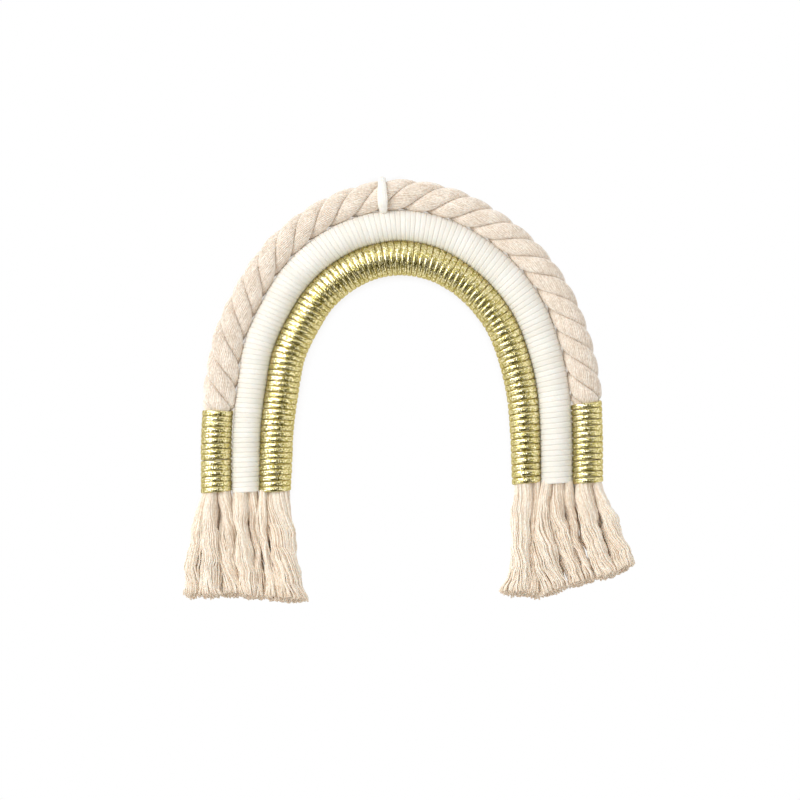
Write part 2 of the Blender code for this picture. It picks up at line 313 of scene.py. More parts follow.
def cotton(name, pale, deep, girth, fineness, slant, relief, sheen, softness, streak=0.15, shortness=0.12,
           grain=0.45, mottle=0.16, own_fibres=True):
    """Spun cotton. pale and deep are the colours of its lightest and darkest yarns.

    girth is the way round a yarn in metres, fineness its fibres to the metre, slant their turns to the
    metre, shortness how quickly they end, relief their height, and softness how far light wanders inside.
    streak, grain and mottle are how far those change the tone. With own_fibres, each tone of yarn has
    fibres of its own.
    """
    material, tree, shader = new_material(name)
    yarn = node(tree, "Attribute", {}, attribute_name="tone").outputs["Fac"]
    lay = node(tree, "UVMap", {}, uv_map="lay").outputs[0]
    which = maths(tree, "MULTIPLY", yarn, FIBRES_APART) if own_fibres else 0.0
    fibre = node(tree, "Group", {"Lay": lay, "Girth": girth, "Fineness": fineness, "Slant": slant,
                                 "Shortness": shortness, "Yarn": which}, node_tree=SPUN_FIBRE).outputs
    shade = yarn
    for effect, depth in (("Height", streak), ("Grain", grain), ("Mottle", mottle)):
        shade = maths(tree, "ADD", shade, remap(tree, fibre[effect], NOISE_RANGE, (-depth, depth)))
    fuzz = maths(tree, "ADD", fibre["Height"], fibre["Grain"])
    bump = node(tree, "Bump", {"Height": fuzz, "Strength": 1.0, "Distance": relief}).outputs[0]
    feed(tree, shader, {
        "Base Color": mixed_colour(tree, shade, pale, deep), "Normal": bump,
        "Roughness": 0.9, "Specular IOR Level": 0.25, "Sheen Weight": sheen, "Sheen Roughness": 0.5,
        "Subsurface Weight": 0.5, "Subsurface Radius": (0.7, 0.85, 1.0), "Subsurface Scale": softness,
    })
    return material


STRANDS = 3
YARNS_ROUND_STRAND = 34
ROPE_SECTION = 1.5 * MM  # along the rope from one ring to the next
STRAND_OUT = 0.5  # a strand's centre, as a share of the rope's radius, and its half height and half width
STRAND_HIGH = 0.5
STRAND_WIDE = 0.65
STRAND_PRESSED = 0.985  # of its third of the rope, past which a strand is pressed flat by its neighbours
ROOM_FROM = 0.02  # of the rope's radius out from its middle, where that third begins to have any width
STRAND_UNEVEN = 0.02  # of its width, by which a strand is thinner or thicker
UNEVEN_SPACING = 17 * MM
YARN_RELIEF = 0.045  # of a yarn above its neighbours' seams, as a share of the rope's radius
YARN_LAY = 1.6  # turns of a strand's yarns back, for each turn that the strand makes round the rope
YARN_SWAY = 0.06  # radians that a yarn strays to either side
SWAY_SPACING = 4 * MM
ROPE_TONES = (0.15, 0.35)
SEAM_SHADE = 0.5  # painted shade: deeper than the yarn, in the seam between one yarn and the next
LEFT_WRAP_TOP = -143.5 * MM
RIGHT_WRAP_TOP = -138.7 * MM
NARROWS_ABOVE = 3.5 * MM  # a wrap's top, and in what height the rope is down to its held radius
NARROWS_IN = 4.5 * MM
HELD_RADIUS = 7.8 * MM  # of the rope inside its end wraps
HELD_FLATTER = 0.4  # of a yarn's relief, which the wraps press out
ROPE_IN_WRAP = 2.0 * MM  # from the rope's cut end to its foot, filled by the fringe's yarns

OUTER = rope_line("rope", 1)


def held_share(here, left):
    """How far the rope is squeezed by the wrap below, from 0 to 1."""
    top = np.where(left, LEFT_WRAP_TOP, RIGHT_WRAP_TOP)
    return ease(np.clip((top + NARROWS_ABOVE - here["z"]) / NARROWS_IN, 0, 1))


def rope_strand(number):
    """One strand: an oval bundle of yarns, laid round the rope and pressed against the other two."""
    dice = np.random.default_rng(40 + number)
    total = OUTER["length"][-1]
    length = np.linspace(ROPE_IN_WRAP, total - ROPE_IN_WRAP, round(total / ROPE_SECTION))
    here = at_length(OUTER, length)
    laid = -here["seams"] * 2 * math.pi / STRANDS
    held = held_share(here, length < total / 2)[:, None]
    middle = (math.pi / 2 + math.pi / STRANDS + laid + 2 * math.pi * number / STRANDS)[:, None]
    points = 2 * YARNS_ROUND_STRAND
    on_yarn = np.arange(points) % 2  # the points lie in turn in a seam and on a yarn
    column = np.arange(points) * 2 * math.pi / points
    sway = np.array([wander(dice, length, SWAY_SPACING) for _ in range(YARNS_ROUND_STRAND)]).T
    round_strand = column - YARN_LAY * laid[:, None] + YARN_SWAY * np.repeat(sway, 2, axis=1)
    plump = 1 + STRAND_UNEVEN * wander(dice, length, UNEVEN_SPACING)[:, None]
    crest = YARN_RELIEF * on_yarn * (1 - HELD_FLATTER * held)
    radial = STRAND_OUT + (STRAND_HIGH * plump + crest) * np.cos(round_strand)
    room = np.maximum(radial, ROOM_FROM) * math.tan(math.pi / STRANDS) * STRAND_PRESSED
    wide = np.clip((STRAND_WIDE * plump + crest) * np.sin(round_strand), -room, room)
    radius = here["radius"][:, None] * (1 - held) + HELD_RADIUS * held
    rings = round_rope(here, middle + np.arctan2(wide, radial), radius * np.hypot(radial, wide))
    # Painted shade: the points in the seams between yarns take a deeper tone.
    tone = np.repeat(dice.uniform(*ROPE_TONES, YARNS_ROUND_STRAND), 2) + SEAM_SHADE * (1 - on_yarn)
    return draw_yarns("rope_strand", rings[None], length[None], tone)


BLUSH_ROPE = cotton(
    "blush_rope_cotton", pale=(0.955, 0.88, 0.785), deep=(0.60, 0.49, 0.38), girth=35 * MM, fineness=1700.0,
    slant=0.0, relief=0.12 * MM, sheen=0.2, softness=1.0 * MM, streak=0.4, shortness=0.45, grain=0.1,
    own_fibres=False
)
twisted_rope = join("twisted_rope", [rope_strand(number) for number in range(STRANDS)])
twisted_rope.data.materials.append(BLUSH_ROPE)
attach(twisted_rope, "root")
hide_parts("outer_rope")


# ---------------------------------------------------------------------------------------------------------
# White arch. The middle rope is wound from end to end in a soft white cotton yarn about 3 mm thick, turn
# against turn. Here and there the hand that wound it let a turn ride a little high, or a pair lie apart.

WINDING_POINTS = 4000  # worked out along a winding
WINDING_STEPS = 30  # sections of yarn in one turn
WINDING_PROUD = 0.4 * MM  # of the solid's surface: the turns press into the next arch
SLACK_TURNS = 0.7  # in which a yarn strays along the rope and back, and in which it does so more finely
FINE_SLACK_TURNS = 0.23
RIDE_TURNS = 0.9  # in which it rides up and down
TONE_TURNS = 1.7  # in which its tone changes
TUCK_TURNS = 0.25  # at each end, where it is tucked in under the winding

# A wound yarn's section: it is pressed against its neighbours and flat where it lies on the rope. The
# columns are across and up, as shares of its half width and half thickness.
WOUND_SECTION = np.array(
    (
        (0, 1), (0.3, 0.98), (0.62, 0.9), (0.88, 0.68), (1, 0.25), (0.75, -0.8),
        (-0.75, -0.8), (-1, 0.25), (-0.88, 0.68), (-0.62, 0.9), (-0.3, 0.98),
    )
)


def wound_yarn(name, line, start, end, pitch, thickness, looseness, dice, spread=1.0, parting=0.0,
               roundness=1.0, proud=WINDING_PROUD):
    """A yarn wound round a rope from one length along it to another.

    pitch is the width of a turn, in pairs of a share of the way and the width there. looseness is how far
    the turns stray, spread how far they run into each other, and parting the dip between the yarn's two
    plies. A roundness below 1 presses it flat, like a tape.
    """
    fine = np.linspace(start, end, WINDING_POINTS)
    shares, widths = zip(*pitch)
    local_pitch = np.interp((fine - start) / (end - start), shares, widths)
    turns = np.cumsum(np.gradient(fine) / local_pitch)
    turns -= turns[0]
    turns *= round(turns[-1]) / turns[-1]
    turn = np.linspace(0, turns[-1], round(turns[-1] * WINDING_STEPS))
    length = np.interp(turn, turns, fine)
    angle = 2 * math.pi * turn - math.pi / 2
    slack = wander(dice, turn, SLACK_TURNS) + 0.5 * wander(dice, turn, FINE_SLACK_TURNS)
    ride = 0.5 * looseness * wander(dice, turn, RIDE_TURNS)
    here = at_length(line, length + looseness * slack)
    width = np.interp(length, fine, local_pitch) * (1 + here["bend"] * here["radius"] * np.cos(angle))
    tuck = np.clip(1 - np.minimum(turn, turn[-1] - turn) / TUCK_TURNS, 0, 1)
    middle = here["radius"] + proud - thickness / 2 + ride - thickness * tuck**2
    across, up = WOUND_SECTION.T
    up = np.sign(up) * np.abs(up) ** roundness - parting * (across == 0)
    along = spread * width[:, None] / 2 * across
    rings = round_rope(here, angle[:, None], middle[:, None] + thickness / 2 * up)
    rings[..., 0] += here["out_z"][:, None] * along
    rings[..., 2] -= here["out_x"][:, None] * along
    run = np.cumsum(np.hypot(2 * math.pi * middle, width) / WINDING_STEPS)
    tone = np.clip(0.5 + 0.5 * wander(dice, turn, TONE_TURNS), 0, 1)
    return draw_yarns(name, rings[None], run[None], tone[:, None])


CORE_TONE = 0.8  # deep, because little light gets in between the turns


def wound_core(name, line, start, end, inset):
    """The rope inside a winding, which shows only as the dark between its turns."""
    sections, points = 160, 24
    length = np.linspace(start, end, sections)
    here = at_length(line, length)
    angle = np.broadcast_to(np.arange(points) * 2 * math.pi / points, (sections, points))
    rings = round_rope(here, angle, (here["radius"] - inset)[:, None])
    return draw_yarns(name, rings[None], length[None], CORE_TONE)


MIDDLE = rope_line("white", 0)
WHITE_THICKNESS = 2.5 * MM
WHITE_PITCH = ((0.0, 3.1 * MM), (0.5, 3.02 * MM), (0.72, 3.25 * MM), (1.0, 3.45 * MM))
CORE_IN_FOOT = 2.5 * MM  # from the core's cut end to the winding's foot
FIRST_TURN = 0.2 * MM  # from the foot to the middle of the first turn, which starts at the back

white_end = MIDDLE["length"][-1]
white_turns = wound_yarn(
    "white_turns", MIDDLE, FIRST_TURN, white_end - FIRST_TURN, WHITE_PITCH, WHITE_THICKNESS,
    looseness=0.12 * MM, dice=np.random.default_rng(11), spread=1.12, parting=0.12
)
white_core = wound_core(
    "white_core", MIDDLE, CORE_IN_FOOT, white_end - CORE_IN_FOOT, inset=0.7 * WHITE_THICKNESS
)
white_winding = join("white_winding", [white_turns, white_core])
WHITE_YARN = cotton(
    "white_cotton_yarn", pale=(0.885, 0.86, 0.80), deep=(0.825, 0.795, 0.72), girth=9 * MM, fineness=4200.0,
    slant=250.0, relief=0.08 * MM, sheen=0.15, softness=0.8 * MM
)
white_winding.data.materials.append(WHITE_YARN)
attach(white_winding, "root")
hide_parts("white_wrap")


# ---------------------------------------------------------------------------------------------------------
# Gold arch. The inner rope is wound the same way in a braided metallic cord: flat gold filaments plaited
# round a soft filling, so that each turn glitters. The turns grow a little wider towards the right foot.


def braid_group():
    """A plait of flat filaments that cross each other on the slant, each crossing tipped its own way."""
    group, given, put_out = new_group(
        "plaited filament",
        {"Lay": "Vector", "Filaments": "Float", "Crossing": "Float", "Round": "Float", "Tip": "Float"},
        {"Height": "Float", "Chance": "Float"},
    )
    lay = node(group, "SeparateXYZ", {0: given["Lay"]}).outputs
    around = maths(group, "MULTIPLY", lay[0], given["Filaments"])
    along = maths(group, "DIVIDE", lay[1], given["Crossing"])
    leaning = [maths(group, way, around, along) for way in ("ADD", "SUBTRACT")]
    cell = [maths(group, "FLOOR", place) for place in leaning]
    within = [maths(group, "FRACT", place) for place in leaning]
    humps = [maths(group, "SINE", maths(group, "MULTIPLY", place, math.pi)) for place in within]
    on_top = maths(group, "FLOORED_MODULO", maths(group, "ADD", *cell), 2.0)
    corner = node(group, "CombineXYZ", {0: cell[0], 1: cell[1]}).outputs[0]
    chance = node(group, "TexWhiteNoise", {"Vector": corner}, noise_dimensions="2D").outputs
    tips = node(group, "SeparateColor", {0: chance["Color"]}).outputs
    height = maths(group, "MULTIPLY", mixed(group, on_top, *humps), given["Round"])
    for tip, place in zip(tips, within):
        lean = maths(group, "MULTIPLY", maths(group, "SUBTRACT", tip, 0.5), given["Tip"])
        height = maths(group, "MULTIPLY_ADD", lean, place, height)
    put_out(Height=height, Chance=chance["Value"])
    return group


PLAITED_FILAMENT = braid_group()
# Each crossing is one of these or between them at random: partly the filaments' own tone, partly painted
# glitter in the bright gold and painted shade in the dull gold.
BRIGHT_GOLD_AND_GLINT = (0.97, 0.905, 0.63)
DULL_GOLD_AND_SHADE = (0.54, 0.465, 0.12)
FILAMENT_RELIEF = 0.24 * MM


def gold_cord():
    """Plaited metallic cord. Chance makes each crossing bright and smooth, or deeper and duller: partly a
    random tone of its own, partly painted glitter and painted shade.
    """
    material, tree, shader = new_material("gold_metallic_cord")
    lay = node(tree, "UVMap", {}, uv_map="lay").outputs[0]
    plait = node(tree, "Group", {"Lay": lay, "Filaments": 4.0, "Crossing": 1.0 * MM, "Round": 0.32,
                                 "Tip": 0.72}, node_tree=PLAITED_FILAMENT).outputs
    relief = {"Height": plait["Height"], "Strength": 1.0, "Distance": FILAMENT_RELIEF}
    feed(tree, shader, {
        "Base Color": mixed_colour(tree, plait["Chance"], BRIGHT_GOLD_AND_GLINT, DULL_GOLD_AND_SHADE),
        "Roughness": remap(tree, plait["Chance"], (0, 1), (0.06, 0.2)),
        "Normal": node(tree, "Bump", relief).outputs[0],
        "Metallic": 1.0, "Specular Tint": (0.95, 0.85, 0.55, 1),
    })
    return material


INNER = rope_line("gold", -1)
GOLD_THICKNESS = 3.0 * MM
GOLD_LOOSENESS = 0.2 * MM
GOLD_SPREAD = 0.98  # a hair narrower than its pitch, so that each turn stands out
GOLD_ROUNDNESS = 0.5  # the cord is soft and pressed rather flat
GOLD_PITCH = ((0.0, 3.45 * MM), (0.3, 3.5 * MM), (0.6, 3.7 * MM), (1.0, 4.05 * MM))
GOLD_CORD = gold_cord()

gold_end = INNER["length"][-1]
gold_turns = wound_yarn(
    "gold_turns", INNER, FIRST_TURN, gold_end - FIRST_TURN, GOLD_PITCH, GOLD_THICKNESS,
    looseness=GOLD_LOOSENESS, dice=np.random.default_rng(23), spread=GOLD_SPREAD, roundness=GOLD_ROUNDNESS,
    proud=0.65 * MM
)
gold_core = wound_core(
    "gold_core", INNER, CORE_IN_FOOT, gold_end - CORE_IN_FOOT, inset=0.6 * GOLD_THICKNESS
)
gold_winding = join("gold_winding", [gold_turns, gold_core])
gold_winding.data.materials.append(GOLD_CORD)
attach(gold_winding, "root")
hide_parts("gold_wrap")


# ---------------------------------------------------------------------------------------------------------
# End wraps. The same gold cord is wound fourteen or fifteen times round each end of the outer rope, tight
# enough to hold its strands together above the fringe.

END_WRAP_RADIUS = 9.5 * MM
END_WRAP_CORD = 2.4 * MM
END_WRAP_PITCH = ((0.0, 3.45 * MM), (1.0, 3.5 * MM))


def length_at_height(line, height, left):
    """How far along a rope its centre is at this height, on the left or the right side."""
    crown = np.argmax(line["z"])
    if left:
        return np.interp(height, line["z"][:crown], line["length"][:crown])
    return np.interp(-height, -line["z"][crown:], line["length"][crown:])


END_LINE = {**OUTER, "radius": np.full_like(OUTER["radius"], END_WRAP_RADIUS)}
wrap_dice = np.random.default_rng(5)
for left in (True, False):
    edge = length_at_height(END_LINE, LEFT_WRAP_TOP if left else RIGHT_WRAP_TOP, left)
    start, end = (0.0, edge) if left else (edge, END_LINE["length"][-1])
    end_winding = wound_yarn(
        "left_end_winding" if left else "right_end_winding", END_LINE, start, end, END_WRAP_PITCH,
        END_WRAP_CORD, looseness=GOLD_LOOSENESS, dice=wrap_dice, spread=GOLD_SPREAD,
        roundness=GOLD_ROUNDNESS, proud=0.2 * MM
    )
    end_winding.data.materials.append(GOLD_CORD)
    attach(end_winding, "root")
    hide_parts("left_end_wrap" if left else "right_end_wrap")


# ---------------------------------------------------------------------------------------------------------
# Hanging loop. A short white cord, a little flattened, goes once round the outer rope at the top. It lies
# snug at the front and slack at the back, where a nail goes through it, and its ends meet under the rope.

LOOP_CENTRE_Z = -10.1 * MM
LOOP_HALF_WIDTH = 2.6 * MM
LOOP_HALF_THICKNESS = 1.4 * MM
LOOP_LEAN = 0.9 * MM  # to the right at its foot, where the arch below pushes it
LOOP_ENDS_APART = 0.02  # of a step of the route, from each end to its first place
LOOP_ROUTE = np.array(  # y and z, from where the ends meet, forwards and up the front, and down behind
    (
        (0.0, -9.5), (-4.6, -9.4), (-8.8, -7.4), (-11.2, -3.2), (-11.2, 2.2), (-8.6, 7.6), (-4.4, 10.6),
        (0.6, 11.5), (6.0, 11.2), (11.4, 9.0), (15.4, 4.6), (16.3, -1.0), (13.8, -6.3), (9.0, -9.2),
        (4.4, -9.6),
    )
) * MM
LOOP_YARNS = 11  # that show as fine ribs round the cord
RIB_HEIGHT = 0.05  # as a share of the cord's half width
RIB_TWIST = 25  # radians to the metre
LOOP_NARROW = 0.82  # of its half width at its foot and its crown, and how much more it has between them
LOOP_SWELL = 0.34
LOOP_WIDEST = 0.8  # a power of the height: 1 would make it widest half way up, and less a little lower
LOOP_UNEVEN = 0.03
LOOP_UNEVEN_SPACING = 6 * MM
LOOP_TONE = 0.2


def loop_cord():
    """The loop's cord, drawn along its route with its ribs, and a little uneven in width."""
    dice = np.random.default_rng(3)
    sections, points = 150, 4 * LOOP_YARNS
    ring = np.concatenate((LOOP_ROUTE[-1:], LOOP_ROUTE, LOOP_ROUTE[:2]))
    place = np.linspace(1 + LOOP_ENDS_APART, len(LOOP_ROUTE) + 1 - LOOP_ENDS_APART, sections)
    y, z = smooth_through(ring, place).T
    z = z + LOOP_CENTRE_Z
    ahead = np.gradient(np.stack((y, z)), axis=1)
    ahead /= np.linalg.norm(ahead, axis=0)
    across_y, across_z = ahead[1], -ahead[0]
    run = np.cumsum(np.hypot(np.gradient(y), np.gradient(z)))
    column = np.arange(points) * 2 * math.pi / points
    angle = column - run[:, None] * RIB_TWIST
    rib = 1 + RIB_HEIGHT * np.cos(LOOP_YARNS * column)
    rib = rib * (1 + LOOP_UNEVEN * wander(dice, run, LOOP_UNEVEN_SPACING)[:, None])
    height = ((z - z.min()) / (z.max() - z.min()))[:, None]
    swell = LOOP_SWELL * np.sin(math.pi * height**LOOP_WIDEST)
    half_width = LOOP_HALF_WIDTH * (LOOP_NARROW + swell)
    sideways = half_width * rib * np.cos(angle) + LOOP_LEAN * (1 - height) ** 2
    through = LOOP_HALF_THICKNESS * rib * np.sin(angle)
    rings = np.stack(
        (sideways, y[:, None] + across_y[:, None] * through, z[:, None] + across_z[:, None] * through), -1
    )
    return draw_yarns("loop_cord", rings[None], run[None], LOOP_TONE)


loop = loop_cord()
loop.data.materials.append(WHITE_YARN)
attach(loop, "root")
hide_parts("hanging_loop")


# ---------------------------------------------------------------------------------------------------------
# Fringes. Below the wraps each rope is unpicked into its yarns, which still remember the lay of the rope:
# they gather in two or three locks, slant and wave a little, and are cut off level with shears.

YARN_RADIUS = 0.45 * MM
YARN_GIRTHS = (0.86, 1.14)  # of the thinnest and the thickest yarn, as shares of that
YARN_SIDES = 4
YARN_SECTIONS = 24
DOWN = np.linspace(0, 1, YARN_SECTIONS)  # the share of the way down a yarn, at each section
YARN_BRUSH = 0.2  # wider at its cut end, where its fibres spread, and in what share of its length
BRUSH_LENGTH = 1 / 16
FRINGE_TONES = (0.15, 0.6)
CUT_END_SHADE = 0.3  # painted shade: deeper than the yarn at its cut end, where the ends along the hem lie in shade
GOLDEN_ANGLE = math.pi * (3 - math.sqrt(5))
RIM_CROWDING = 0.42  # 0.5 would seat the yarns evenly over a lock's section, and less seats more at its rim
SEAT_UNEVEN = 0.03  # of a lock's half width
TWIST_UNEVEN = 0.05  # radians between one yarn and the next at the hem
LOCK_FILLS = 0.9  # of the width that the table gives to a lock, so that creases show between them
NECK_INSIDE = 1.6 * MM  # of yarn above the foot, inside the winding
FREE_FROM = 1 / 3  # of the way down: above it the winding still holds the yarns together
LOOSENESS = 0.18 * MM  # of each yarn in its lock, and how much more at the hem
LOOSER_AT_HEM = 0.42 * MM
LOOSE_SPACING = 0.14  # of its length, in which a yarn strays once
STRAY_SHARE = 0.03  # of the yarns, which lie wild, and how many times looser they are
STRAY_LOOSER = 4
FLARE_FROM = 0.82  # of the way down, past which the ends spread sideways and in depth
FLARE_SIDEWAYS = 0.6 * MM
FLARE_DEEP = 0.7 * MM
CUT_UNEVEN = 0.45 * MM
FRONT_SHORTER = 4.6 * MM  # than the back of a lock, at the hem

# The waves that the yarns keep from the rope: how many down a lock, how far they reach in mm, and how many
# radians out of step its yarns may be.
WAVES = ((1.3, 0.8, 2.2), (2.8, 0.55, 2.2), (5.3, 0.3, 2.8), (8.7, 0.2, 4.0))

# A lock's twist is in turns, its hem the heights at which its left and right sides are cut, and a row the
# share of the way down, x of its left and right side, y of its middle, and half depth, all in mm.
Lock = namedtuple("Lock", "yarns twist hem rows")


def disc_seats(count):
    """Places in a disc of radius 1, closer together near its rim, where the yarns that show are."""
    number = np.arange(count)
    reach = ((number + 0.5) / count) ** RIM_CROWDING
    return np.stack((reach * np.cos(number * GOLDEN_ANGLE), reach * np.sin(number * GOLDEN_ANGLE)), 1)


def lock_paths(dice, lock, foot):
    """Centre lines of one lock's yarns, from inside the winding above the foot down to the hem."""
    rows = np.array(lock.rows) * (1, MM, MM, MM, MM)
    place = np.interp(DOWN, rows[:, 0], np.arange(len(rows)))
    left, right, y, half_depth = smooth_through(rows[:, 1:], place).T
    seats = disc_seats(lock.yarns) + dice.normal(0, SEAT_UNEVEN, (lock.yarns, 2))
    turned = lock.twist * 2 * math.pi * DOWN + dice.normal(0, TWIST_UNEVEN, (lock.yarns, 1)) * DOWN
    seat_x = seats[:, :1] * np.cos(turned) - seats[:, 1:] * np.sin(turned)
    seat_y = seats[:, :1] * np.sin(turned) + seats[:, 1:] * np.cos(turned)
    x = (left + right) / 2 + LOCK_FILLS * (right - left) / 2 * seat_x
    depth = y + half_depth * seat_y
    free = np.minimum(1, DOWN / FREE_FROM)
    for waves, reach, apart in WAVES:
        for coordinate in (x, depth):
            lean = dice.uniform(-apart, apart, 2)
            phase = 2 * math.pi * waves * DOWN + seats @ lean[:, None] + dice.uniform(0, 2 * math.pi)
            coordinate += reach * MM * free * np.sin(phase)
    for number in range(lock.yarns):
        loose = (LOOSENESS + LOOSER_AT_HEM * DOWN**3) * free
        if dice.random() < STRAY_SHARE:
            loose = loose * STRAY_LOOSER
        x[number] += loose * wander(dice, DOWN, LOOSE_SPACING)
        depth[number] += loose * wander(dice, DOWN, LOOSE_SPACING)
    flare = (np.clip(DOWN - FLARE_FROM, 0, 1) / (1 - FLARE_FROM)) ** 2
    x += flare * dice.normal(0, FLARE_SIDEWAYS, (lock.yarns, 1))
    depth += flare * dice.normal(0, FLARE_DEEP, (lock.yarns, 1))
    across = (x[:, -1:] - left[-1]) / (right[-1] - left[-1])
    cut = np.interp(across, (0, 1), np.array(lock.hem) * MM)
    cut = cut + dice.normal(0, CUT_UNEVEN, (lock.yarns, 1)) - FRONT_SHORTER / 2 * seat_y[:, -1:]
    top = foot + NECK_INSIDE
    return np.stack((x, depth, top + (cut - top) * DOWN), -1)


def yarn_rings(dice, paths):
    """Rings of points round each yarn's centre line."""
    along = np.gradient(paths, axis=1)
    along /= np.linalg.norm(along, axis=2)[..., None]
    side = np.cross(along, (0, 1, 0))
    side /= np.linalg.norm(side, axis=2)[..., None]
    front = np.cross(side, along)
    angle = np.arange(YARN_SIDES) * 2 * math.pi / YARN_SIDES
    brush = 1 + YARN_BRUSH * np.clip(1 - (1 - DOWN) / BRUSH_LENGTH, 0, 1)
    radius = YARN_RADIUS * brush[:, None, None] * dice.uniform(*YARN_GIRTHS, (len(paths), 1, 1, 1))
    return paths[:, :, None] + radius * (
        side[:, :, None] * np.cos(angle)[:, None] + front[:, :, None] * np.sin(angle)[:, None]
    )


BLUSH_FRINGE = cotton(
    "blush_fringe_cotton", pale=(0.98, 0.91, 0.805), deep=(0.71, 0.57, 0.42), girth=3 * MM, fineness=3000.0,
    slant=200.0, relief=0.06 * MM, sheen=0.2, softness=0.15 * MM, grain=0.22
)

FRINGES = (
    ("left_outer", LEFT_FOOT, (
        Lock(yarns=114, twist=0.068, hem=(-259.0, -259.3), rows=(
            (0, -112.0, -106.0, 1, 6.6), (0.3, -118.6, -109.0, 1, 7.4), (0.6, -122.2, -112.0, 1, 7.6),
            (1, -123.2, -112.0, 1, 7.2))),
        Lock(yarns=168, twist=0.136, hem=(-259.0, -259.0), rows=(
            (0, -110.0, -102.8, -0.6, 7.2), (0.3, -113.6, -101.4, -1.4, 8.0),
            (0.6, -114.6, -100.4, -1.2, 8.2), (1, -114.6, -98.0, -0.6, 7.8))),
        Lock(yarns=138, twist=0.374, hem=(-258.8, -258.5), rows=(
            (0, -103.4, -94.4, 0, 7.2), (0.3, -101.6, -91.4, 0.4, 7.8), (0.6, -102.2, -90.2, 0.8, 7.8),
            (1, -100.6, -86.0, 0.6, 7.4))),
    )),
    ("left_middle", LEFT_FOOT, (
        Lock(yarns=204, twist=0.204, hem=(-259.0, -260.2), rows=(
            (0, -93.4, -83.0, 0, 7.4), (0.25, -93.2, -82.4, -1.4, 8.0), (0.4, -92.4, -82.6, -2.0, 7.8),
            (0.6, -91.6, -80.4, -2.2, 7.8), (1, -88.6, -77.2, -1.6, 7.2))),
        Lock(yarns=102, twist=0.255, hem=(-260.0, -260.5), rows=(
            (0, -84.4, -77.4, 1, 6.4), (0.3, -83.4, -76.6, 1.6, 6.6), (0.65, -81.6, -74.4, 2, 6.4),
            (1, -79.4, -73.4, 1.6, 6.0))),
    )),
    ("left_inner", LEFT_FOOT, (
        Lock(yarns=96, twist=0.17, hem=(-260.6, -261.0), rows=(
            (0, -76.6, -71.0, -0.4, 6.6), (0.25, -78.0, -71.4, -1.4, 7.0), (0.5, -77.0, -69.4, -1.2, 6.8),
            (0.75, -73.6, -66.4, -0.8, 6.6), (1, -72.0, -64.0, -0.4, 6.4))),
        Lock(yarns=258, twist=0.272, hem=(-261.5, -262.0), rows=(
            (0, -73.0, -57.4, 0, 7.8), (0.25, -73.0, -55.6, -1.4, 8.6), (0.5, -71.6, -53.4, -1.6, 8.4),
            (0.78, -69.0, -48.8, -1.4, 8.0), (1, -67.4, -46.0, -0.8, 7.4))),
    )),
    ("right_inner", RIGHT_FOOT, (
        Lock(yarns=282, twist=0.17, hem=(-257.2, -258.4), rows=(
            (0, 82.4, 95.6, -0.4, 7.6), (0.3, 80.8, 95.0, -1.2, 8.4), (0.6, 80.2, 93.6, -1.2, 8.2),
            (0.8, 79.0, 93.2, -0.8, 7.8), (1, 74.4, 94.6, 0, 7.2))),
        Lock(yarns=90, twist=0.17, hem=(-258.6, -259.5), rows=(
            (0, 93.4, 99.4, 0.6, 6.6), (0.3, 93.0, 97.6, 1.2, 6.6), (0.65, 91.0, 96.0, 1.4, 6.6),
            (1, 91.0, 98.8, 0.8, 6.4))),
    )),
    ("right_middle", RIGHT_FOOT, (
        Lock(yarns=198, twist=0.238, hem=(-260.0, -253.4), rows=(
            (0, 99.0, 107.6, 0, 7.4), (0.25, 95.0, 105.6, -0.8, 8.2), (0.5, 94.0, 107.0, -1.0, 8.2),
            (0.75, 93.6, 111.6, -0.8, 8.0), (1, 98.0, 117.6, 0, 7.4))),
        Lock(yarns=156, twist=0.238, hem=(-253.0, -250.4), rows=(
            (0, 105.6, 114.0, -0.4, 7.4), (0.25, 104.4, 115.0, -0.8, 8.0), (0.5, 106.0, 117.6, -0.6, 8.0),
            (0.75, 110.4, 122.4, -0.4, 7.8), (1, 116.6, 128.6, 0, 7.2))),
        Lock(yarns=102, twist=0.34, hem=(-250.4, -249.0), rows=(
            (0, 112.6, 119.6, 0, 7.0), (0.3, 113.4, 121.0, 0.6, 7.2), (0.6, 116.6, 124.6, 1.2, 7.0),
            (1, 126.0, 133.6, 1.0, 6.6))),
    )),
    ("right_outer", RIGHT_FOOT, (
        Lock(yarns=210, twist=0.204, hem=(-248.8, -245.6), rows=(
            (0, 120.2, 132.0, -0.6, 7.6), (0.25, 120.6, 133.4, -1.4, 8.2), (0.5, 123.6, 137.0, -1.6, 8.2),
            (0.75, 128.4, 141.4, -1.2, 7.8), (1, 133.0, 147.0, -0.4, 7.2))),
        Lock(yarns=186, twist=0.306, hem=(-246.0, -239.4), rows=(
            (0, 130.0, 137.0, 0, 7.2), (0.25, 132.6, 142.6, 0.4, 7.6), (0.5, 136.8, 149.0, 0.4, 7.6),
            (0.75, 140.6, 154.2, 0.2, 7.4), (1, 143.6, 157.6, 0.2, 7.0))),
    )),
)
FRINGES_IN_LEG = 3
BACK_YARNS = 72  # that lie loose behind a fringe's locks and close the creases between them
BACK_SHARES = (0, 0.3, 0.6, 0.8, 1)  # of the way down, at the back lock's rows
BACK_Y = 4.0
BACK_HALF_DEPTH = 2.8
BACK_OVERLAP = 2.5  # of one fringe's back yarns behind the next fringe
BACK_INSET = 1.0  # from the side of a leg to its back yarns
BACK_SPREAD_BY = 0.25  # of the way down, where they are as wide as that
BACK_SHORTER = 1.0  # than the locks in front


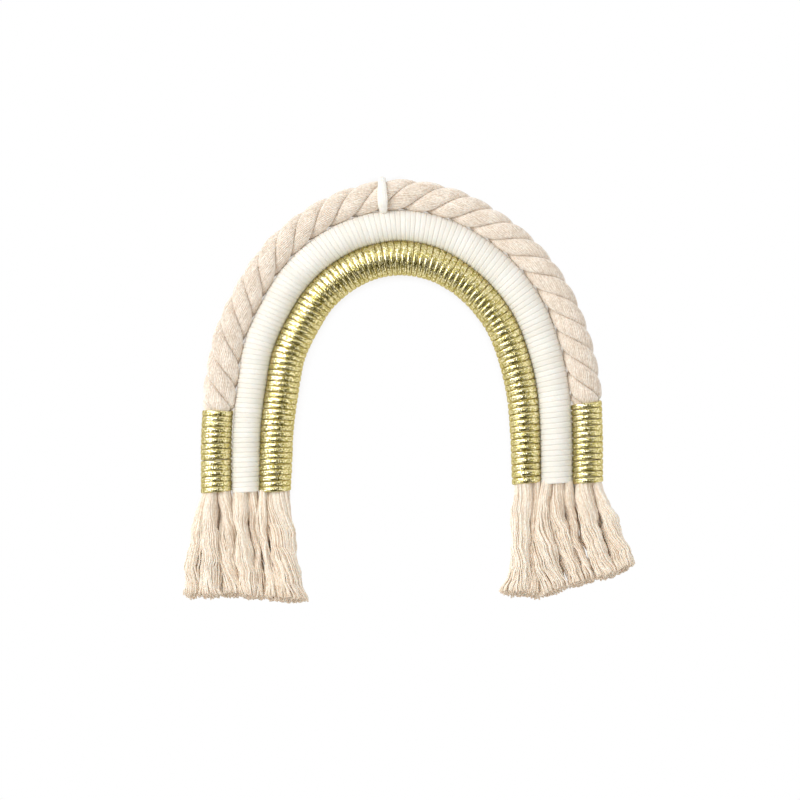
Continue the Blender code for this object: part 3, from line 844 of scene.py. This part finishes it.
def back_lock(locks, place):
    """The lock behind a fringe's locks, as wide as them all. place is the fringe's in its leg, from 0."""
    first, last = np.array(locks[0].rows), np.array(locks[-1].rows)
    more_left = BACK_OVERLAP if place > 0 else -BACK_INSET
    more_right = BACK_OVERLAP if place < FRINGES_IN_LEG - 1 else -BACK_INSET
    rows = []
    for share in BACK_SHARES:
        spread = min(1, share / BACK_SPREAD_BY)
        left = np.interp(share, first[:, 0], first[:, 1]) - more_left * spread
        right = np.interp(share, last[:, 0], last[:, 2]) + more_right * spread
        rows.append((share, left, right, BACK_Y, BACK_HALF_DEPTH))
    hem = (locks[0].hem[0] + BACK_SHORTER, locks[-1].hem[1] + BACK_SHORTER)
    return Lock(yarns=BACK_YARNS, twist=0.0, hem=hem, rows=rows)


for number, (fringe_name, foot, locks) in enumerate(FRINGES):
    fringe_dice = np.random.default_rng(70 + number)
    every_lock = (*locks, back_lock(locks, number % FRINGES_IN_LEG))
    paths = np.concatenate([lock_paths(fringe_dice, lock, foot) for lock in every_lock])
    rings = yarn_rings(fringe_dice, paths)
    run = np.cumsum(np.linalg.norm(np.diff(paths, axis=1, prepend=paths[:, :1]), axis=2), axis=1)
    # Painted shade: each yarn's last ring, at its cut end, takes a deeper tone.
    tone = fringe_dice.uniform(*FRINGE_TONES, (len(paths), 1)) + CUT_END_SHADE * (DOWN == 1)
    yarns = draw_yarns("yarns_" + fringe_name, rings, run, tone[..., None])
    yarns.data.materials.append(BLUSH_FRINGE)
    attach(yarns, "root")
    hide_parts("fringe_" + fringe_name)


# ---------------------------------------------------------------------------------------------------------
# Studio. A pale floor lies well below, and a white wall just behind glows white, with faint contact shadows
# painted on it. A big soft box at the upper left and even light from all sides light the hanging.

WHITE = (1, 1, 1)
UPRIGHT = (math.pi / 2, 0, 0)  # how the wall is turned, and the camera that looks straight at it
STAGE_SIZE = 1.3
FLOOR_Z = -0.6
WALL_Y = 18.4 * MM  # just behind the loop
HANGING_Z = -130 * MM  # half way down the hanging

bpy.ops.object.select_all(action="DESELECT")
bpy.ops.mesh.primitive_plane_add(size=STAGE_SIZE, location=(0.0, 0.0, FLOOR_Z))
floor = bpy.context.object
floor.name = "floor"
floor_paint, tree, shader = new_material("floor_paint")
feed(tree, shader, {"Base Color": (0.86, 0.86, 0.85, 1), "Roughness": 0.8})
floor.data.materials.append(floor_paint)
floor.visible_glossy = False

# The wall shows from the front only, to the camera only, so that it neither lights nor hides anything. It
# glows, with painted shade where a piece lies close in front of it, towards the soft box.
SHADE_REACH = 15 * MM
SHADE_TOWARDS = (-0.4, -0.83, 0.38)
SHADED_TO_LIT = (0.25, 0.72)  # the share of open air at which it is in deep shade, and in none
DEEP_SHADE = (0.34, 0.25, 0.14)
bpy.ops.mesh.primitive_plane_add(size=STAGE_SIZE, location=(0.0, WALL_Y, HANGING_Z), rotation=UPRIGHT)
wall = bpy.context.object
wall.name = "wall"
bpy.ops.object.transform_apply(location=True, rotation=True, scale=True)
wall_paint, tree, _ = new_material("wall_paint")
tree.nodes.clear()
open_air = node(tree, "AmbientOcclusion", {"Distance": SHADE_REACH, "Normal": SHADE_TOWARDS}, samples=8)
lit = remap(tree, open_air.outputs["AO"], SHADED_TO_LIT, (0, 1))
# Painted shadow: the wall's glow goes down to the deep shade where the ambient occlusion finds a piece
# close in front.
glow_with_painted_shade = node(tree, "Emission", {"Color": mixed_colour(tree, lit, DEEP_SHADE, WHITE)}).outputs[0]
clear = node(tree, "BsdfTransparent", {}).outputs[0]
behind = node(tree, "NewGeometry", {}).outputs["Backfacing"]
one_sided = node(tree, "MixShader", {0: behind, 1: glow_with_painted_shade, 2: clear}).outputs[0]
node(tree, "OutputMaterial", {"Surface": one_sided})
wall.data.materials.append(wall_paint)
for ray in ("diffuse", "glossy", "transmission", "volume_scatter", "shadow"):
    setattr(wall, "visible_" + ray, False)

SOFT_BOX_FROM = (-1.45, -1.75, 0.8)
SOFT_BOX_AIM = (0.01, 0.0, HANGING_Z)
bpy.ops.object.light_add(type="AREA", location=SOFT_BOX_FROM)
soft_box = bpy.context.object
soft_box.name = "soft_box"
soft_box.data.shape = "SQUARE"
soft_box.data.size = 1.75
soft_box.data.energy = 35.0
facing = Vector(SOFT_BOX_AIM) - Vector(SOFT_BOX_FROM)
soft_box.rotation_euler = facing.to_track_quat("-Z", "Y").to_euler()

# What the gold mirrors: a bright window round the soft box, a lamp at the right, and the dark of the room
# in front and below. The cotton is lit as evenly as by a white tent.
EVEN_LIGHT = 0.84
WINDOW_LIGHT = (1, 1, 1.08)
WALL_LIGHT = (1, 0.97, 0.84)
ROOM_DARK = (0.06, 0.05, 0.013)
WINDOW_TOWARDS = (-0.604, -0.720, 0.342)
LAMP_TOWARDS = (0.87, -0.46, -0.17)
ROOM_TOWARDS = (0.05, -0.87, -0.49)
world = bpy.data.worlds.new("studio")
bpy.context.scene.world = world
world.use_nodes = True
sky = world.node_tree
sky.nodes.clear()
direction = node(sky, "TexCoord", {}).outputs["Generated"]


def patch(towards, half_angle, edge, inside=1.0, outside=0.0):
    """A round patch of the surroundings, with its value inside and outside. Its angles are in degrees."""
    middle = Vector(towards).normalized()
    near = node(sky, "VectorMath", {0: direction, 1: middle}, operation="DOT_PRODUCT").outputs["Value"]
    ends = [math.cos(math.radians(half_angle + step)) for step in (edge, -edge)]
    return remap(sky, near, ends, (outside, inside), interpolation_type="SMOOTHSTEP")


window = patch(WINDOW_TOWARDS, half_angle=33, edge=5, inside=2.1, outside=0.86)
daylight = patch(WINDOW_TOWARDS, half_angle=33, edge=5)
lamp = patch(LAMP_TOWARDS, half_angle=34, edge=8, inside=1.35, outside=1.0)
room = patch(ROOM_TOWARDS, half_angle=47, edge=4)
mirrored = maths(sky, "MULTIPLY", window, lamp)
walls = mixed_colour(sky, daylight, WALL_LIGHT, WINDOW_LIGHT)
surroundings = mixed_colour(sky, room, walls, ROOM_DARK)
ray = node(sky, "LightPath", {}).outputs
cast = mixed(sky, ray["Is Glossy Ray"], EVEN_LIGHT, mirrored)
strength = mixed(sky, ray["Is Camera Ray"], cast, 1.0)
tint = mixed_colour(sky, ray["Is Glossy Ray"], WHITE, surroundings)
glow = node(sky, "Background", {"Color": tint, "Strength": strength})
node(sky, "OutputWorld", {"Surface": glow.outputs[0]})

bpy.context.scene.view_settings.view_transform = "Standard"
bpy.context.scene.view_settings.look = "None"
bpy.context.scene.cycles.diffuse_bounces = 10  # so that light gets deep between the yarns

# The camera stands 2.5 m away, straight in front, and sees half a metre of the hanging's plane.
CAMERA_AWAY = 2.5
VIEW_WIDTH = 0.5
VIEW_X = 11.25 * MM  # the middle of the view
VIEW_Z = -137.0 * MM
bpy.ops.object.camera_add(location=(VIEW_X, -CAMERA_AWAY, VIEW_Z), rotation=UPRIGHT)
camera = bpy.context.object
camera.data.sensor_width = 36.0
camera.data.lens = camera.data.sensor_width * CAMERA_AWAY / VIEW_WIDTH
bpy.context.scene.camera = camera
